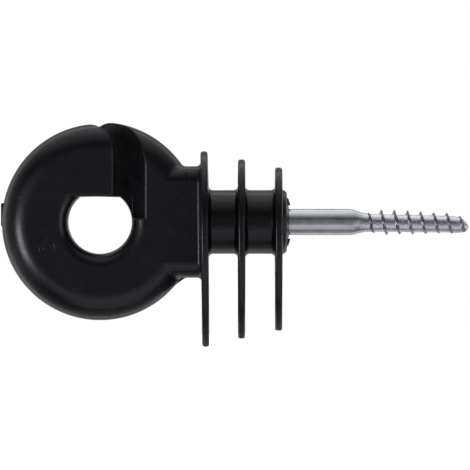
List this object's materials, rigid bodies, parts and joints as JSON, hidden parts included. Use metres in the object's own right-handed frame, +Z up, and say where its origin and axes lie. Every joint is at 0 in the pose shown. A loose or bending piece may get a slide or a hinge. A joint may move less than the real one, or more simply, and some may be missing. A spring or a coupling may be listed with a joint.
{
  "type": "electric fence ring insulator",
  "caption": "Screw-in ring insulator for an electric fence: a black plastic ring with a diagonal rope slot and drip sheds, on a zinc-plated steel wood screw.",
  "frame": {"origin": "on the screw's axis where its thread starts, the point that meets the post's face", "axes": "+X along the screw to its tip, into the post; +Z up, with the rope slot at the top of the ring; +Y through the ring, along the rope"},
  "size_m": [0.1072, 0.0308, 0.0513],
  "materials": {
    "black_plastic": "semi-gloss injection-moulded polypropylene, UV-stabilised black",
    "zinc_plated_steel": "bright zinc-plated drawn and rolled steel"
  },
  "bodies": {
    "root": {"insulator_body": "black_plastic", "wood_screw": "zinc_plated_steel"}
  },
  "joints": []
}
